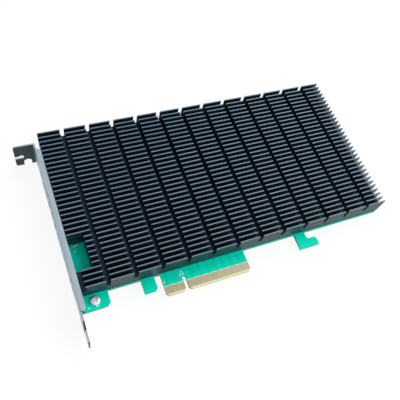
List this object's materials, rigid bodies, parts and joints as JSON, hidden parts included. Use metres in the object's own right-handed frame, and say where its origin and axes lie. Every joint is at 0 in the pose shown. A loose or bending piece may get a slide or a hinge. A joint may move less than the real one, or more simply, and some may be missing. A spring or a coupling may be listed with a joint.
{
  "type": "nvme adapter card",
  "caption": "Full-height expansion card that carries solid-state drives under one cross-cut finned heatsink, with a slotted edge bracket.",
  "frame": {"origin": "where the key notch's centre line meets the contact edge, on the board's component face", "axes": "+X along the card away from the bracket, +Y from the contacts to the top edge, +Z out of the component face"},
  "size_m": [0.211, 0.1275, 0.0185],
  "materials": {
    "solder_mask": "green solder mask over fibreglass",
    "gold": "hard gold plate",
    "black_anodised": "satin black anodised",
    "bracket_steel": "bright zinc-plated sheet",
    "screw_steel": "bright nickel",
    "connector_plastic": "moulded black",
    "standoff_brass": "turned",
    "drive_mask": "dark solder mask",
    "chip_epoxy": "moulded epoxy",
    "thermal_pad": "soft silicone sheet",
    "package_mask": "laminate substrate",
    "lid_nickel": "nickel-plated copper",
    "ferrite": "pressed iron powder",
    "capacitor_ceramic": "ceramic with tinned ends",
    "crystal_can": "metal lid"
  },
  "bodies": {
    "root": {"bracket": "bracket_steel", "bracket_screws": "screw_steel", "bulk_capacitors": "capacitor_ceramic", "circuit_board": "solder_mask", "clock_buffer": "chip_epoxy", "contacts_component_side": "gold", "contacts_solder_side": "gold", "coupling_capacitors": "capacitor_ceramic", "crystal": "crystal_can", "drive_board_1": "drive_mask", "drive_board_2": "drive_mask", "drive_board_3": "drive_mask", "drive_board_4": "drive_mask", "drive_chips_1": "chip_epoxy", "drive_chips_2": "chip_epoxy", "drive_chips_3": "chip_epoxy", "drive_chips_4": "chip_epoxy", "drive_latches": "connector_plastic", "drive_pad_1": "thermal_pad", "drive_pad_2": "thermal_pad", "drive_pad_3": "thermal_pad", "drive_pad_4": "thermal_pad", "drive_socket_1": "connector_plastic", "drive_socket_2": "connector_plastic", "drive_socket_3": "connector_plastic", "drive_socket_4": "connector_plastic", "drive_standoffs": "standoff_brass", "heatsink": "black_anodised", "heatsink_screws": "screw_steel", "power_inductor_1": "ferrite", "power_inductor_2": "ferrite", "power_inductor_3": "ferrite", "power_stage_1": "chip_epoxy", "power_stage_2": "chip_epoxy", "power_stage_3": "chip_epoxy", "rear_capacitors": "capacitor_ceramic", "settings_memory": "chip_epoxy", "switch_lid": "lid_nickel", "switch_package": "package_mask", "switch_pad": "thermal_pad"}
  },
  "joints": []
}
